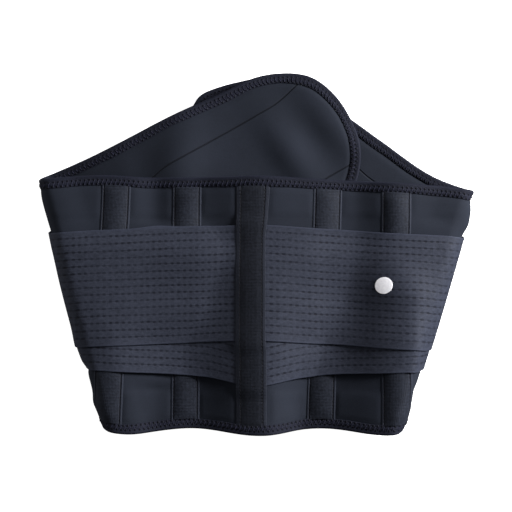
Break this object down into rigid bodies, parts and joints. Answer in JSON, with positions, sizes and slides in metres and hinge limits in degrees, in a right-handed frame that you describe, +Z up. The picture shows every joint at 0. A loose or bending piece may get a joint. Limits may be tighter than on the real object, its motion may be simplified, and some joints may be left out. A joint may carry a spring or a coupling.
{
  "type": "lumbar support belt",
  "caption": "Black padded cloth back support belt lying flat with both wings folded under, stiffened by ribbed stay channels and wide elastic pull bands",
  "frame": {"origin": "middle of the bounding box in plan, on the surface that the belt lies on", "axes": "+X along the back panel to the right as seen from above, +Y up the back towards the wide edge, +Z up, out of the back panel's outer face"},
  "size_m": [0.428, 0.3492, 0.0431],
  "materials": {
    "neoprene": "matt brushed cloth over foam",
    "binding": "matt tape with zigzag stitching",
    "webbing": "fine ribbed tape, slight sheen",
    "elastic": "woven elastic with darker dashes",
    "loop": "short loop pile",
    "hook": "stiff hook pile",
    "sticker": "smooth paper"
  },
  "bodies": {
    "root": {"belt_body": "neoprene", "edge_binding": "binding", "spine_cover": "webbing", "stay_channel_left_outer": "webbing", "stay_channel_left_inner": "webbing", "stay_channel_right_inner": "webbing", "stay_channel_right_outer": "webbing", "lower_band_left": "elastic", "upper_band_left": "elastic", "lower_band_right": "elastic", "upper_band_right": "elastic", "loop_panel_left": "loop", "loop_panel_right": "loop", "tab_hook_patch_left": "hook", "tab_hook_patch_right": "hook", "pull_tab_left": "webbing", "pull_tab_right": "webbing", "size_sticker": "sticker"}
  },
  "joints": []
}
